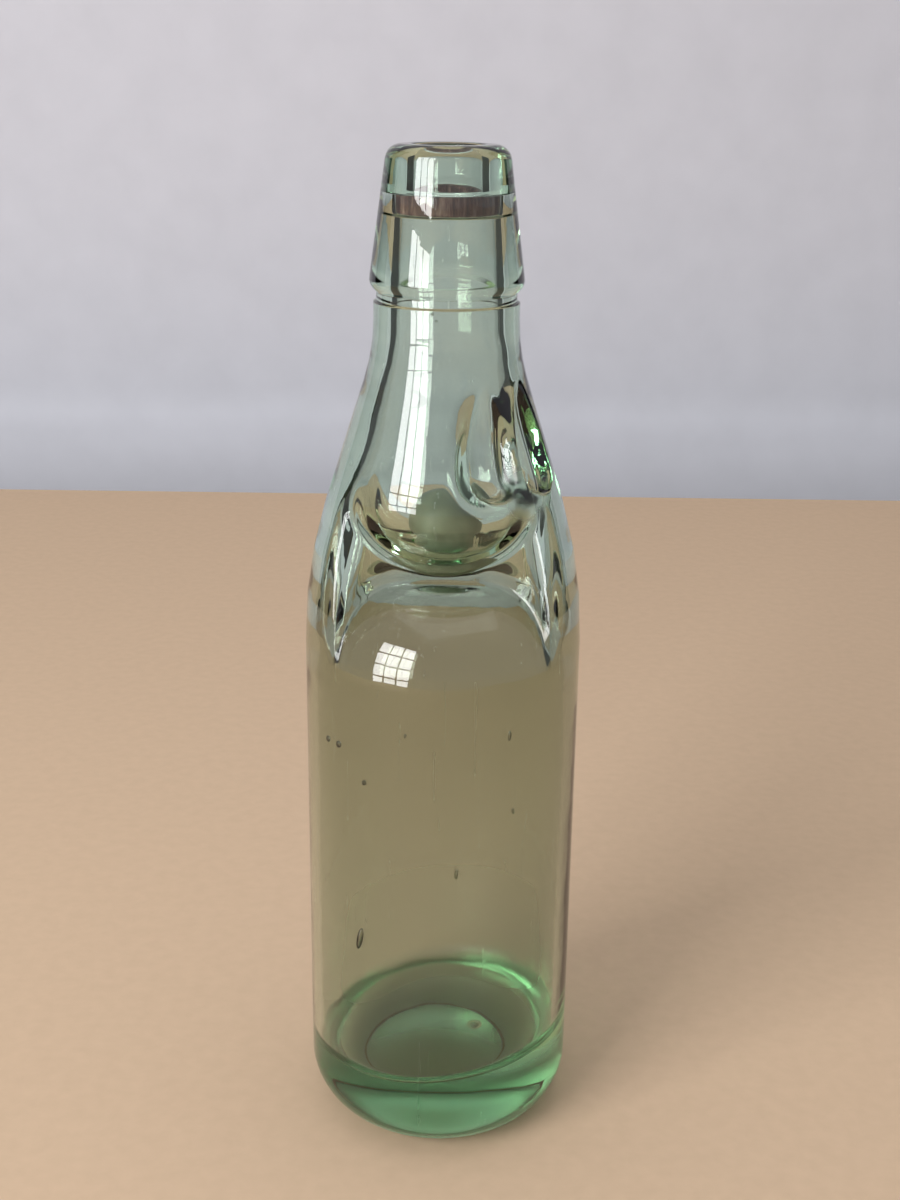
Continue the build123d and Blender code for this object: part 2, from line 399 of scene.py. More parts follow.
def even_columns(wall, rows):
    """The wall's columns cut afresh, into equal steps of length plus averaged turning."""
    step = np.diff(wall, axis=0)
    length = np.linalg.norm(step, axis=2)
    heading = step / np.maximum(length, 1e-9)[..., None]
    bend = np.linalg.norm(np.diff(heading, axis=0), axis=2)
    bend = np.vstack((bend[:1], bend)) * SHARPEN
    window = np.ones(TURN_WINDOW) / TURN_WINDOW
    bend = np.apply_along_axis(lambda line: np.convolve(line, window, "same"), 0, bend)
    shifts = range(-NEIGHBOURS, NEIGHBOURS + 1)
    bend = sum(np.roll(bend, shift, axis=1) for shift in shifts) / len(shifts)
    travel = np.vstack((np.zeros((1, wall.shape[1])), np.cumsum(length + bend, axis=0)))
    travel /= travel[-1]
    column = np.arange(wall.shape[1])
    target = np.linspace(0, 1, rows)[:, None] + 0 * column
    ordered = (travel + 2 * column).T.ravel()
    place = np.searchsorted(ordered, (target + 2 * column).T.ravel(), side="right")
    place = place.reshape(len(column), rows).T
    place = np.clip(place - column * len(travel) - 1, 0, len(travel) - 2)
    before = np.take_along_axis(travel, place, 0)
    after = np.take_along_axis(travel, place + 1, 0)
    share = np.clip((target - before) / np.maximum(after - before, 1e-12), 0, 1)[..., None]
    lower = wall[place, column]
    return lower + (wall[place + 1, column] - lower) * share


def turned_rows(profile, columns):
    """Rows of points round the axis, one for each (radius, height) of a profile, by cosine and sine."""
    turn = np.linspace(0, 2 * pi, columns, endpoint=False)
    radius, height = profile[:, 0][:, None], profile[:, 1][:, None]
    return np.stack((radius * np.cos(turn), radius * np.sin(turn), height + 0 * turn), axis=-1)


# The sines of a wave, how far they head upwards, the shortest's share of the longest, and the sum's divisor
SINES, UPWARD, SHORTEST, SINE_SUM = 8, 0.45, 0.45, 3


def ripple(points, longest, seed):
    """A smooth random wave between about -1 and 1: a sum of sines, each along its own random direction."""
    draw = np.random.default_rng(seed)
    heading = draw.normal(size=(SINES, 3)) * [1, 1, UPWARD]
    lengths = longest * draw.uniform(SHORTEST, 1, SINES)
    heading *= (2 * pi / lengths / np.linalg.norm(heading, axis=1))[:, None]
    return np.sin(points @ heading.T + draw.uniform(0, 2 * pi, SINES)).sum(axis=-1) / SINE_SUM


def new_object(name, data):
    """An object of that name in the scene."""
    made = bpy.data.objects.new(name, data)
    bpy.context.scene.collection.objects.link(made)
    return made


def add_piece(name, points, faces, material, body, node, marks=()):
    """Adds a piece from points in millimetres: smooth, on its body, in its node's place."""
    mesh = bpy.data.meshes.new(name)
    mesh.from_pydata(points * MM, [], faces)
    mesh.polygons.foreach_set("use_smooth", np.ones(len(faces), bool))
    for mark, values in marks:
        mesh.attributes.new(mark, "FLOAT", "POINT").data.foreach_set("value", values)
    mesh.materials.append(material)
    mesh.update()
    piece = new_object(name, mesh)
    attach(piece, body)
    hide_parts(node)


def closed_faces(rows, columns):
    """Four-sided faces between neighbouring rows, each row a closed ring, numbered row by row."""
    row, column = np.meshgrid(np.arange(rows - 1), np.arange(columns), indexing="ij")
    after = (column + 1) % columns
    this, above = row * columns, (row + 1) * columns
    return np.stack((this + column, this + after, above + after, above + column), axis=-1).reshape(-1, 4)


def capped(grid, start=0):
    """Points and faces of rings from pole to pole: the first and the last row shrink to one point each.

    The faces count the points from the given start.
    """
    rows, columns = grid.shape[:2]
    first, last = grid[0].mean(axis=0), grid[-1].mean(axis=0)
    points = np.vstack((grid[1:-1].reshape(-1, 3), first, last))
    bottom, top = (rows - 2) * columns, (rows - 2) * columns + 1
    ring = np.arange(columns)
    after = (ring + 1) % columns
    under = (rows - 3) * columns
    first_cap = np.stack((after, ring, np.full(columns, bottom)), axis=-1)
    last_cap = np.stack((under + ring, under + after, np.full(columns, top)), axis=-1)
    faces = (closed_faces(rows - 2, columns) + start).tolist()
    return points, faces + (first_cap + start).tolist() + (last_cap + start).tolist()


def ball_rows(first, last, rows, columns):
    """Rows of points on a ball of radius 1 from one angle of rise to another: a turned half circle."""
    rise = np.linspace(first, last, rows)
    return turned_rows(np.stack((np.cos(rise), np.sin(rise)), axis=-1), columns)


def seed_bubble(middle, radii, lean, start):
    """An air bubble in the glass: a ball stretched to three radii and leaning by an angle.

    Its rows run downwards, so that its faces look into the bubble, away from the glass.
    """
    ball = ball_rows(pi / 2, -pi / 2, BUBBLE_ROWS, BUBBLE_COLUMNS)
    tilt = np.array([[cos(lean), 0, sin(lean)], [0, 1, 0], [-sin(lean), 0, cos(lean)]])
    return capped((ball * radii) @ tilt.T + np.array(middle), start)


# Air bubbles in the glass: place and radii in millimetres, and lean in degrees
BUBBLES = (
    ((-22.6, -15.9, 94.9), (0.70, 0.50, 0.70), 0),
    ((-20.4, -18.6, 94.9), (0.75, 0.50, 0.75), 0),
    ((-16.3, -22.4, 52.0), (0.75, 0.45, 2.60), 12),
    ((8.4, -3.7, 16.8), (1.75, 1.65, 1.55), 0),
    ((13.4, -24.0, 99.6), (0.35, 0.30, 1.10), 4),
    ((-15.2, -23.0, 88.4), (0.50, 0.30, 0.60), 30),
    ((-2.6, -13.3, 181.6), (0.28, 0.25, 0.35), 0),
    ((-1.8, -13.3, 180.3), (0.22, 0.22, 0.22), 0),
    ((17.5, 20.5, 61.0), (0.45, 0.35, 0.80), -10),
    ((-9.0, 25.9, 78.0), (0.40, 0.30, 0.55), 0),
    ((4.5, 26.6, 41.0), (0.50, 0.35, 1.30), 8),
)

# Columns and rows of points: round the bottle, up its cast walls, on a bubble and the marble, round the ring
COLUMNS = 216
OUTER_ROWS, INNER_ROWS = 150, 104
BUBBLE_COLUMNS, BUBBLE_ROWS = 20, 11
MARBLE_COLUMNS, MARBLE_ROWS = 96, 49
RING_COLUMNS = 180

# In millimetres: where the cast walls start, how far they run past the foot of the neck, how far the outline
# under them reaches, how far from them the turned runs stay, and how far in and down the run at the lip ends
CAST_START, CAST_OVERRUN = 98.0, 4
INSIDE_START, OUTSIDE_OVERRUN = 60, 2
BASE_GAP, NECK_GAP, BORE_GAP = 4, 1, 2
LIP_RUN_END = 3

# The longest step of each run of the outline, in millimetres
CAST_STEP, BASE_STEP, NECK_STEP, BORE_STEP, RING_STEP = 1.0, 12.0, 2.0, 9.0, 0.4

# The turn of a step round the heel and the ring's edges, in radians, and the points on the other arcs
HEEL_TURN, RING_TURN = 0.1, 0.3
PUSH_UP_POINTS, CORNER_POINTS, FLOOR_POINTS = 10, 10, 16

# Each wave's longest length in millimetres and its seed, how the ring's ridges are drawn out upright, and in
# millimetres how deep the marble's and the ring's waves are, and how far from the axis the glass's begins
GLASS_WAVE, MARBLE_WAVE, RING_WAVE, RING_RIDGES = (30, 3), (9, 5), (3, 8), (1.2, 9)
RIDGES_UPRIGHT = (1, 1, 0.1)
MARBLE_WEAR, RING_WEAR = 0.03, 0.05
BLOWN_RADIUS = (2, 6)

# The film, in shares and in millimetres over the floor and over the body's height
FILM_OUTSIDE, FILM_INSIDE = 0.85, 0.35
FILM_START, FILM_END = (-4, 22), (-12, 6)

# The scoured glass, in millimetres: up from the floor, to the back, out from the axis and under the foot
SCOURED_HEIGHT, SCOURED_DEPTH, SCOURED_RADIUS, SCOURED_FOOT = (12, 60), (-3, 14), (11, 18), (2.5, 7)

# The rubbed glass between the round ends of the catches: its middle and reach in millimetres, and its share
CATCH_FOOT = (16.0, -16.0, 147.0)
RUBBED_REACH = (4, 9)
RUBBED_SHARE = 0.8


def bottle_outline(b):
    """The turned outline in three parts: under and beside the body, up over the collar, and inside.

    The push-up and the hollow's floor are arcs whose radius comes from their width and their rise.
    """
    dish = (b.push_up_radius**2 + b.push_up**2) / (2 * b.push_up)
    sweep = np.arcsin(b.push_up_radius / dish) * np.linspace(0, 1, PUSH_UP_POINTS)
    push_up = np.stack((dish * np.sin(sweep), b.push_up - dish * (1 - np.cos(sweep))), axis=-1)
    base = rounded_outline((
        (*push_up[-2], 0),
        (b.push_up_radius, 0, b.foot_rounding),
        (BODY_RADIUS, 0, b.heel_radius),
        (BODY_RADIUS, b.body_height, 0),
    ), HEEL_TURN)
    outside = rounded_outline((
        (BODY_RADIUS, 0, 0),
        (BODY_RADIUS, b.body_height, b.shoulder_sweep),
        (b.neck_radius, b.neck_z, b.neck_sweep),
        (b.neck_radius, b.recess_z, b.turn_rounding),
        (b.neck_radius - b.recess_depth, b.recess_z + b.recess_depth / 2, b.turn_rounding),
        (b.neck_radius - b.recess_depth, b.collar_z, b.turn_rounding),
        (b.collar_radius, b.bevel_z, b.collar_rounding),
        (b.lip_radius, TOTAL_HEIGHT, b.lip_rounding),
        (b.lip_bore, TOTAL_HEIGHT, b.lip_bore_rounding),
        (b.lip_bore, b.groove_top_z, b.turn_rounding),
        (b.groove_radius, b.groove_top_z, b.turn_rounding),
        (b.groove_radius, b.groove_z, b.turn_rounding),
        (b.neck_bore, b.groove_z, b.turn_rounding),
        (b.neck_bore, b.neck_z, 0),
    ))
    inside = rounded_outline((
        (b.neck_bore, b.groove_z, 0),
        (b.neck_bore, b.chamber_end_z, b.bore_sweep),
        (b.body_bore, b.chamber_start_z, b.shoulder_sweep),
        (b.body_bore, b.floor_height, 0),
    ))
    floor_ball = (b.body_bore**2 + b.floor_drop**2) / (2 * b.floor_drop)
    corner_radius = b.body_bore - b.floor_rounding
    rise = sqrt((floor_ball + b.floor_rounding)**2 - corner_radius**2)
    lean = atan(rise / corner_radius)
    turn = np.linspace(0, lean, CORNER_POINTS)
    corner_z = b.floor_height - floor_ball + rise
    corner = np.stack((np.cos(turn), -np.sin(turn)), axis=-1) * b.floor_rounding + [corner_radius, corner_z]
    sweep = np.linspace(pi / 2 - lean, 0, FLOOR_POINTS)[1:]
    dome = np.stack((floor_ball * np.sin(sweep), b.floor_height - floor_ball * (1 - np.cos(sweep))), axis=-1)
    inside = np.vstack((inside[:-1], corner, dome))
    return np.vstack((push_up[:-2], base)), outside, inside


def bottle_grid(b, p):
    """Rings of points over the whole glass, from under the base, up, over the lip and down the inside.

    The second value is how many of the rings lie outside. Between the two heights the walls are cast, and
    elsewhere the outline is turned.
    """
    low_z, high_z = CAST_START, b.neck_z + CAST_OVERRUN
    base, outside, inside = bottle_outline(b)
    outer_side = outside[:np.argmax(outside[:, 1] > high_z + OUTSIDE_OVERRUN) + 1]
    outer_side = spread_points(outer_side, CAST_STEP)
    inner_side = spread_points(inside[inside[:, 1] > INSIDE_START][::-1], CAST_STEP)
    outer_wall = cast_wall(glass_field, outer_side, b, p, low_z, high_z, OUTER_ROWS)
    inner_wall = cast_wall(hollow_field, inner_side, b, p, low_z, high_z, INNER_ROWS)
    base = spread_points(base[base[:, 1] < low_z - BASE_GAP], BASE_STEP)
    neck = outside[np.argmax(outside[:, 1] > high_z + NECK_GAP):]
    back_down = (neck[:, 0] < b.neck_radius - LIP_RUN_END) & (neck[:, 1] < b.groove_z - LIP_RUN_END)
    neck = spread_points(neck[:np.argmax(back_down)], NECK_STEP)
    bore = spread_points(inside[inside[:, 1] < low_z - BORE_GAP], BORE_STEP)
    base_rows, neck_rows, bore_rows = (turned_rows(run, COLUMNS) for run in (base, neck, bore))
    rings = np.vstack((base_rows, outer_wall, neck_rows, inner_wall[::-1], bore_rows))
    return rings, len(base) + len(outer_wall) + len(neck)


def wear(points, inside, b):
    """How thick the film lies and how scoured the glass is at each point, from 0 to 1.

    Inside is 0 outside the bottle, 1 in its hollow and a half on a bubble. Each result is a product of smooth
    steps over the height, the depth and the radius, and rubbed glass counts where it is the greater.
    """
    height = points[:, 2]
    over_floor = height - b.floor_height
    film = FILM_OUTSIDE * (1 - inside) * ease(over_floor, *FILM_START) + FILM_INSIDE * inside
    film = film * (1 - ease(height - b.body_height, *FILM_END))
    radius = np.hypot(points[:, 0], points[:, 1])
    scoured = inside * (1 - ease(over_floor, *SCOURED_HEIGHT))
    scoured = scoured * ease(points[:, 1], *SCOURED_DEPTH) * ease(radius, *SCOURED_RADIUS)
    scoured = scoured + (1 - inside) * (1 - ease(height, *SCOURED_FOOT))
    away = np.linalg.norm(points - np.array(CATCH_FOOT), axis=1)
    return film, np.maximum(scoured, RUBBED_SHARE * (1 - ease(away, *RUBBED_REACH)))


class BOTTLE_OT_glass(bpy.types.Operator):
    """Build the bottle glass with its pinches, catches, collar and seed bubbles"""

    bl_idname = "bottle.glass"
    bl_label = "Bottle glass"

    def execute(self, context):
        b, p = shape_values()
        finish = millimetres(context.scene.bottle_finish)
        grid, outer_rows = bottle_grid(b, p)
        points, faces = capped(grid)
        inside = np.zeros(len(points))
        inside[(outer_rows - 1) * COLUMNS:] = 1
        inside[-2:] = 0, 1
        radius = np.hypot(points[:, 0], points[:, 1])
        blown = inside * ease(radius, *BLOWN_RADIUS) * (1 - ease(points[:, 2], b.neck_z, b.recess_z))
        wave = finish.ripple * blown * ripple(points, *GLASS_WAVE)
        outward = points[:, :2] / np.maximum(radius, 1e-6)[:, None]
        points[:, :2] += outward * wave[:, None]
        sunk = inside * (1 - ease(points[:, 2], b.floor_height, b.body_height / 2))
        points[:, 2] += finish.floor_tilt * sunk * points[:, 0] / b.body_bore
        for middle, radii, lean in BUBBLES:
            bubble_points, bubble_faces = seed_bubble(middle, radii, radians(lean), len(points))
            points = np.vstack((points, bubble_points))
            faces += bubble_faces
            inside = np.concatenate((inside, np.full(len(bubble_points), 0.5)))
        film, haze = wear(points, inside, b)
        add_piece(
            "bottle_glass", points, faces, moulded_aqua_glass(), "bottle", "glass_bottle",
            [("film", film), ("haze", haze)],
        )
        return {"FINISHED"}


class BOTTLE_OT_marble(bpy.types.Operator):
    """Build the stopper marble"""

    bl_idname = "bottle.marble"
    bl_label = "Stopper marble"

    def execute(self, context):
        ball = ball_rows(-pi / 2, pi / 2, MARBLE_ROWS, MARBLE_COLUMNS)
        wave = ripple(ball * MARBLE_RADIUS, *MARBLE_WAVE)
        ball *= (MARBLE_RADIUS - MARBLE_WEAR - MARBLE_WEAR * wave)[..., None]
        points, faces = capped(ball + np.array([0, 0, MARBLE_HEIGHT]))
        glass = ground_marble_glass()
        add_piece("marble_ball", points, faces, glass, "marble", "stopper_marble")
        return {"FINISHED"}


class BOTTLE_OT_ring(bpy.types.Operator):
    """Build the rubber ring in the lip"""

    bl_idname = "bottle.ring"
    bl_label = "Sealing ring"

    def execute(self, context):
        finish = millimetres(context.scene.bottle_finish)
        bore, rounding = finish.ring_bore, finish.ring_rounding
        middle_z = (RING_BOTTOM + RING_TOP) / 2
        outline = rounded_outline((
            (RING_OUTER_RADIUS, middle_z, 0),
            (RING_OUTER_RADIUS, RING_TOP, rounding),
            (bore, RING_TOP, rounding),
            (bore, RING_BOTTOM, rounding),
            (RING_OUTER_RADIUS, RING_BOTTOM, rounding),
            (RING_OUTER_RADIUS, middle_z, 0),
        ), RING_TURN)
        outline = spread_points(outline, RING_STEP)[:-1]
        grid = turned_rows(outline, RING_COLUMNS)
        ridges = ripple(grid * RIDGES_UPRIGHT, *RING_RIDGES)
        worn = RING_WEAR * ripple(grid, *RING_WAVE) + RING_WEAR * ridges
        grid[..., :2] *= (1 - np.abs(worn) / np.hypot(grid[..., 0], grid[..., 1]))[..., None]
        points = grid.reshape(-1, 3)
        faces = (closed_faces(len(outline) + 1, RING_COLUMNS) % len(points)).tolist()
        rubber = perished_red_rubber()
        add_piece("rubber_ring", points, faces, rubber, "bottle", "sealing_ring")
        return {"FINISHED"}


def node(owner, kind, settings=None, links=None):
    """Adds a node to a material or world, with values for its sockets or attributes, and links.

    A socket is named, or numbered where two share a name. A ramp's stops are given as (place, colour).
    """
    tree = owner.node_tree
    made = tree.nodes.new(kind)
    for name, value in (settings or {}).items():
        if name == "stops":
            steps = made.color_ramp.elements
            while len(steps) < len(value):
                steps.new(0.5)
            for step, (place, tone) in zip(steps, value):
                step.position = place
                step.color = (*tone, 1)
        elif name in made.inputs:
            made.inputs[name].default_value = value
        else:
            setattr(made, name, value)
    for name, source in (links or {}).items():
        tree.links.new(source, made.inputs[name])
    return made


def new_material(name):
    """A material without nodes, and where its points lie on the object."""
    material = bpy.data.materials.new(name)
    material.use_nodes = True
    material.node_tree.nodes.clear()
    return material, node(material, "ShaderNodeTexCoord").outputs["Object"]


def grey(level):
    """The same level in red, green and blue."""
    return (level,) * 3


def moulded_aqua_glass():
    """Soda-lime bottle glass, pressed at the lip and blown in an iron mould.

    Clear and nearly colourless where it is thin, aqua where it is thick. The mould leaves a faint orange-peel
    outside, and the blowing leaves long soft ripples inside. Years of use leave rubbed patches, upright
    hairlines, a film round the body, and a scoured haze low inside, under the foot and between the catches.
    """
    finish = bpy.context.scene.bottle_finish
    material, place = new_material("moulded_aqua_glass")
    upright = node(
        material, "ShaderNodeMapping", {"Scale": (1, 1, 0.03), "Rotation": (0.16, 0.1, 0)}, {"Vector": place}
    ).outputs["Vector"]
    # The first number of each is its grain in millimetres. Hairlines are drawn coarse enough to show.
    ripples, peel, rubs, hairs = (
        node(
            material, "ShaderNodeTexNoise",
            {"Scale": 1 / (grain * MM), "Detail": detail, "Roughness": fineness}, {"Vector": vector},
        ).outputs["Fac"]
        for grain, detail, fineness, vector in (
            (14, 1.0, 0.4, place), (3.2, 2.0, 0.5, place), (9, 6.0, 0.65, place), (1.6, 2.0, 0.5, upright)
        )
    )
    film, haze = (
        node(material, "ShaderNodeAttribute", {"attribute_name": name}).outputs["Fac"]
        for name in ("film", "haze")
    )
    tone, rubbed, scored, hazy = (
        node(material, "ShaderNodeValToRGB", {"stops": stops}, {"Fac": source}).outputs["Color"]
        for source, stops in (
            (film, [(0.0, finish.clear), (1.0, finish.film)]),
            (rubs, [(0.0, grey(0)), (0.62, grey(0.004)), (0.80, grey(0.07))]),
            (hairs, [(0.71, grey(0)), (0.72, grey(0.35)), (0.73, grey(0))]),
            (haze, [(0.0, grey(0)), (1.0, grey(finish.haze))]),
        )
    )
    rough = rubbed
    for mark in (scored, hazy):
        greater = node(material, "ShaderNodeMath", {"operation": "MAXIMUM"}, {0: rough, 1: mark})
        rough = greater.outputs["Value"]
    soft = node(material, "ShaderNodeBump", {"Strength": 1.0, "Distance": 0.10 * MM}, {"Height": ripples})
    fine = node(
        material, "ShaderNodeBump", {"Strength": 1.0, "Distance": 0.008 * MM},
        {"Height": peel, "Normal": soft.outputs["Normal"]},
    )
    glass = node(
        material, "ShaderNodeBsdfPrincipled", {"IOR": 1.52, "Transmission Weight": 1.0},
        {"Base Color": tone, "Roughness": rough, "Normal": fine.outputs["Normal"]},
    )
    depth = node(
        material, "ShaderNodeVolumeAbsorption",
        {"Color": (*finish.glass_tint, 1), "Density": finish.glass_depth},
    )
    ends = {"Surface": glass.outputs["BSDF"], "Volume": depth.outputs["Volume"]}
    node(material, "ShaderNodeOutputMaterial", links=ends)
    return material


def ground_marble_glass():
    """Soda-lime glass marble, ground round and left satin.

    Dull olive grey and only half clear, with cloudy patches from the grinding and years in the bottle.
    """
    finish = bpy.context.scene.bottle_finish
    material, place = new_material("ground_marble_glass")
    # The first number of each is its grain in millimetres
    clouds, pits = (
        node(
            material, "ShaderNodeTexNoise",
            {"Scale": 1 / (grain * MM), "Detail": detail, "Roughness": fineness}, {"Vector": place},
        ).outputs["Fac"]
        for grain, detail, fineness in ((6, 5.0, 0.6), (0.7, 3.0, 0.5))
    )
    base = np.array(finish.marble)
    tone, rough = (
        node(material, "ShaderNodeValToRGB", {"stops": stops}, {"Fac": clouds}).outputs["Color"]
        for stops in (
            [(0.3, base * 0.8), (0.55, base), (0.75, base * 1.25)],
            [(0.3, grey(0.28)), (0.7, grey(0.45))],
        )
    )
    bump = node(material, "ShaderNodeBump", {"Strength": 0.5, "Distance": 0.02 * MM}, {"Height": pits})
    glass = node(
        material, "ShaderNodeBsdfPrincipled", {"IOR": 1.52, "Transmission Weight": 0.2},
        {"Base Color": tone, "Roughness": rough, "Normal": bump.outputs["Normal"]},
    )
    node(material, "ShaderNodeOutputMaterial", links={"Surface": glass.outputs["BSDF"]})
    return material


def perished_red_rubber():
    """Vulcanised red rubber, moulded and long perished.

    Dark red-brown and matt, streaked upright where it has dried and cracked. The paler streaks on the raised
    parts are partly worn rubber and partly painted highlight: the window's reflections along the ridges.
    """
    finish = bpy.context.scene.bottle_finish
    material, place = new_material("perished_red_rubber")
    upright = node(material, "ShaderNodeMapping", {"Scale": (1, 1, 0.12)}, {"Vector": place})
    streaks = node(
        material, "ShaderNodeTexNoise", {"Scale": 1 / (0.9 * MM), "Detail": 4.0, "Roughness": 0.6},
        {"Vector": upright.outputs["Vector"]},
    ).outputs["Fac"]
    dark, wear_and_glint = np.array(finish.rubber), np.array(finish.rubber_wear_and_glint)
    # The palest stop is partly worn rubber and partly painted highlight, the window's reflections on the
    # raised streaks
    stops = [(0.30, dark * 0.45), (0.5, dark), (0.72, wear_and_glint)]
    tone = node(material, "ShaderNodeValToRGB", {"stops": stops}, {"Fac": streaks})
    bump = node(material, "ShaderNodeBump", {"Strength": 0.8, "Distance": 0.12 * MM}, {"Height": streaks})
    rubber = node(
        material, "ShaderNodeBsdfPrincipled", {"Roughness": 0.62, "Specular IOR Level": 0.35},
        {"Base Color": tone.outputs["Color"], "Normal": bump.outputs["Normal"]},
    )
    node(material, "ShaderNodeOutputMaterial", links={"Surface": rubber.outputs["BSDF"]})
    return material


def painted_board(name, tone, grain):
    """Board with a flat coat of matt paint: one colour, barely mottled by a grain in millimetres."""
    material, place = new_material(name)
    mottle = node(
        material, "ShaderNodeTexNoise", {"Scale": 1 / (grain * MM), "Detail": 3.0, "Roughness": 0.5},
        {"Vector": place},
    )
    base = np.array(tone)
    stops = [(0.3, base * 0.97), (0.7, np.minimum(base * 1.02, 1))]
    coat = node(material, "ShaderNodeValToRGB", {"stops": stops}, {"Fac": mottle.outputs["Fac"]})
    paint = node(
        material, "ShaderNodeBsdfPrincipled", {"Roughness": 0.9, "Specular IOR Level": 0.2},
        {"Base Color": coat.outputs["Color"]},
    )
    node(material, "ShaderNodeOutputMaterial", links={"Surface": paint.outputs["BSDF"]})
    return material


def stage_sheet(name, corners, material):
    """A flat four-cornered sheet of the stage."""
    mesh = bpy.data.meshes.new(name)
    mesh.from_pydata(corners, [], [(0, 1, 2, 3)])
    mesh.materials.append(material)
    sheet = new_object(name, mesh)
    return sheet


def soft_lamp(name, place, aim, width, height, power):
    """A flat lamp of that size at a place, turned to face a point."""
    lamp = bpy.data.lights.new(name, "AREA")
    lamp.shape = "RECTANGLE"
    lamp.size = width
    lamp.size_y = height
    lamp.energy = power
    facing = (Vector(aim) - Vector(place)).to_track_quat("-Z", "Y")
    new_object(name, lamp).matrix_world = Matrix.Translation(place) @ facing.to_matrix().to_4x4()


# The camera: 311 mm in front of the bottle's axis and 225 mm over the table, looking down by 18.7 degrees
CAMERA_PLACE = (0.0014, -0.3114, 0.2252)
CAMERA_PITCH = radians(18.7)
CAMERA_ROLL = radians(0.73)
CAMERA_LENS = 46.8

# The floor's far edge, the backdrop behind it and how wide both are, in metres
FLOOR_EDGE = 0.538
WALL_DISTANCE = 0.75
WALL_BOTTOM, WALL_TOP = -0.4, 1.2
STAGE_WIDTH = 1.6

# The grain of the painted floor and of the painted backdrop and cards, in millimetres
FLOOR_GRAIN, BACKDROP_GRAIN = 4, 30

# The ceiling lamp: its place, the point it faces and its size, in metres
CEILING_PLACE, CEILING_AIM, CEILING_SIZE = (0.1, -0.1, 1.5), (0, 0.1, 0), (1.4, 1.2)

# The light from all round: how far up it is in between, its share there of dim and bright together, and the
# strength at which the backdrop's colour shows in its place
ROOM_MIDDLE, ROOM_MIDDLE_SHARE = 0.25, 1 / 2.6
BACKGROUND_LEVEL = 0.9

# The dark cards, in metres: how far each stands to the side, its near and far edges and its top
CARD_DISTANCE, CARD_NEAR, CARD_FAR, CARD_TOP = 0.45, 0.10, 0.36, 0.70

# The window: its middle as seen from the bottle, its size in metres, its panes and how much of each is lit
WINDOW_TURN = radians(42)
WINDOW_RISE = radians(14)
WINDOW_DISTANCE = 1.1
WINDOW_SIZE = (0.62, 1.05)
WINDOW_PANES = (3, 4)
PANE_SHARE = 0.88


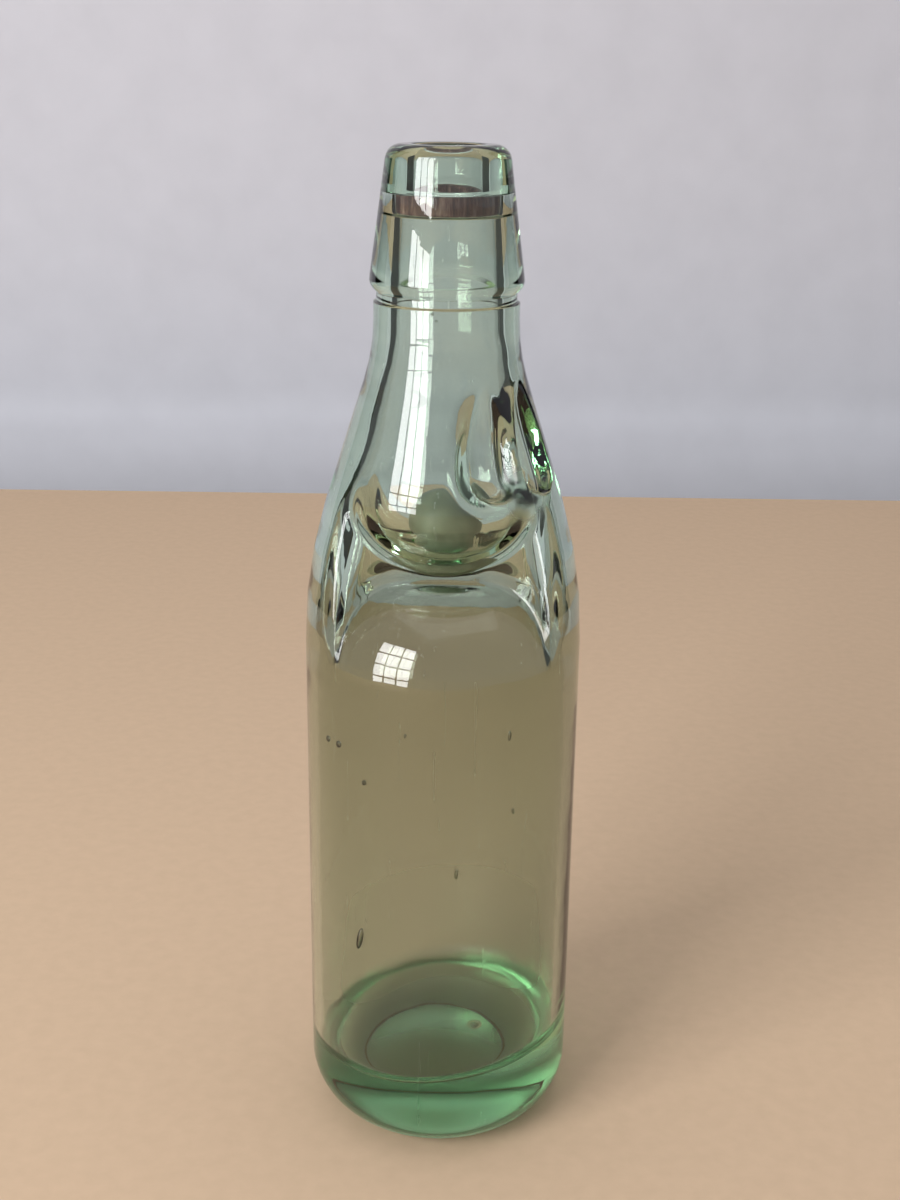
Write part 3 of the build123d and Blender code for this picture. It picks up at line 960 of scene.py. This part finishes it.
class BOTTLE_OT_stage(bpy.types.Operator):
    """Set the floor, the backdrop, the lamps and the camera"""

    bl_idname = "bottle.stage"
    bl_label = "Stage"

    def execute(self, context):
        scene = context.scene
        studio = scene.studio_settings
        half = STAGE_WIDTH / 2
        floor = [(-half, -half, 0), (half, -half, 0), (half, FLOOR_EDGE, 0), (-half, FLOOR_EDGE, 0)]
        stage_sheet("floor", floor, painted_board("painted_floor", studio.floor, FLOOR_GRAIN))
        edge = [(-half, WALL_BOTTOM), (half, WALL_BOTTOM), (half, WALL_TOP), (-half, WALL_TOP)]
        wall = [(across, WALL_DISTANCE, height) for across, height in edge]
        stage_sheet("backdrop", wall, painted_board("painted_backdrop", studio.backdrop, BACKDROP_GRAIN))
        self.set_dark_cards(studio.card)
        self.set_window(studio.window_power)
        soft_lamp("ceiling_lamp", CEILING_PLACE, CEILING_AIM, *CEILING_SIZE, studio.ceiling_power)
        self.set_room(scene, studio)
        lens = bpy.data.cameras.new("camera")
        lens.lens = CAMERA_LENS
        camera = new_object("camera", lens)
        camera.matrix_world = (
            Matrix.Translation(CAMERA_PLACE)
            @ Matrix.Rotation(pi / 2 - CAMERA_PITCH, 4, "X")
            @ Matrix.Rotation(CAMERA_ROLL, 4, "Z")
        )
        scene.camera = camera
        scene.view_settings.view_transform = "Standard"
        return {"FINISHED"}

    def set_dark_cards(self, tone):
        """Two upright dark cards beside the bottle, which only the glass mirrors and bends into its edges."""
        board = painted_board("painted_card", tone, BACKDROP_GRAIN)
        edge = [(CARD_NEAR, 0), (CARD_FAR, 0), (CARD_FAR, CARD_TOP), (CARD_NEAR, CARD_TOP)]
        for name, side in (("left_card", -1), ("right_card", 1)):
            corners = [(side * CARD_DISTANCE, depth, height) for depth, height in edge]
            card = stage_sheet(name, corners, board)
            card.visible_camera = False
            card.visible_diffuse = False
            card.visible_shadow = False

    def set_room(self, scene, studio):
        """Soft light from all round, bright overhead and dim at the sides.

        The camera and the glass see the plain backdrop's colour there instead.
        """
        world = bpy.data.worlds.new("studio_room")
        world.use_nodes = True
        world.node_tree.nodes.clear()
        facing = node(world, "ShaderNodeTexCoord").outputs["Generated"]
        height = node(world, "ShaderNodeSeparateXYZ", links={"Vector": facing}).outputs["Z"]
        dim, bright = np.array(studio.room_dim), np.array(studio.room_bright)
        middle = (dim + bright) * ROOM_MIDDLE_SHARE
        stops = [(0.0, dim), (ROOM_MIDDLE, middle), (1.0, bright)]
        light = node(world, "ShaderNodeValToRGB", {"stops": stops}, {"Fac": height})
        room = node(
            world, "ShaderNodeBackground", {"Strength": studio.room_light}, {"Color": light.outputs["Color"]}
        )
        plain = node(
            world, "ShaderNodeBackground", {"Color": (*studio.backdrop, 1), "Strength": BACKGROUND_LEVEL}
        )
        rays = node(world, "ShaderNodeLightPath").outputs
        seen = rays["Is Camera Ray"]
        for ray in ("Is Transmission Ray", "Is Glossy Ray"):
            greater = node(world, "ShaderNodeMath", {"operation": "MAXIMUM"}, {0: seen, 1: rays[ray]})
            seen = greater.outputs["Value"]
        either = node(
            world, "ShaderNodeMixShader",
            links={"Fac": seen, 1: room.outputs["Background"], 2: plain.outputs["Background"]},
        )
        node(world, "ShaderNodeOutputWorld", links={"Surface": either.outputs["Shader"]})
        scene.world = world

    def set_window(self, power):
        """A window of lit panes with dark bars between them, to the left behind the camera."""
        toward = Vector((
            -sin(WINDOW_TURN) * cos(WINDOW_RISE), -cos(WINDOW_TURN) * cos(WINDOW_RISE), sin(WINDOW_RISE)
        ))
        middle = Vector((0, 0, TOTAL_HEIGHT / 2 * MM)) + toward * WINDOW_DISTANCE
        across = toward.cross(Vector((0, 0, 1))).normalized()
        upright = across.cross(toward)
        pane_width, pane_height = WINDOW_SIZE[0] / WINDOW_PANES[0], WINDOW_SIZE[1] / WINDOW_PANES[1]
        for column in range(WINDOW_PANES[0]):
            for row in range(WINDOW_PANES[1]):
                side = (column - (WINDOW_PANES[0] - 1) / 2) * pane_width
                rise = (row - (WINDOW_PANES[1] - 1) / 2) * pane_height
                place = middle + across * side + upright * rise
                lit_width, lit_height = pane_width * PANE_SHARE, pane_height * PANE_SHARE
                soft_lamp(f"pane_{column}_{row}", place, place - toward, lit_width, lit_height, power)


class BOTTLE_PT_panel(bpy.types.Panel):
    """Lists the steps that build the bottle and its stage"""

    bl_label = "Marble Stopper Bottle"
    bl_idname = "BOTTLE_PT_panel"
    bl_space_type = "VIEW_3D"
    bl_region_type = "UI"
    bl_category = "Bottle"

    def draw(self, context):
        for operator in OPERATORS:
            self.layout.operator(operator.bl_idname)
        for name in SETTINGS:
            box = self.layout.box()
            group = getattr(context.scene, name)
            for value in group.__annotations__:
                box.prop(group, value)


SETTINGS = {
    "bottle_sizes": BottleSizes,
    "pinch_sizes": PinchSizes,
    "bottle_finish": BottleFinish,
    "studio_settings": StudioSettings,
}
OPERATORS = (BOTTLE_OT_glass, BOTTLE_OT_marble, BOTTLE_OT_ring, BOTTLE_OT_stage)


def register():
    """Adds the settings, the operators and the panel to Blender."""
    for name, group in SETTINGS.items():
        bpy.utils.register_class(group)
        setattr(bpy.types.Scene, name, bpy.props.PointerProperty(type=group))
    for part in (*OPERATORS, BOTTLE_PT_panel):
        bpy.utils.register_class(part)


def unregister():
    """Takes them out again."""
    for part in (BOTTLE_PT_panel, *reversed(OPERATORS)):
        bpy.utils.unregister_class(part)
    for name, group in SETTINGS.items():
        delattr(bpy.types.Scene, name)
        bpy.utils.unregister_class(group)


def main():
    """Builds the bottle and its stage."""
    register()
    bpy.ops.bottle.glass()
    bpy.ops.bottle.marble()
    bpy.ops.bottle.ring()
    bpy.ops.bottle.stage()


if __name__ == "__main__":
    main()
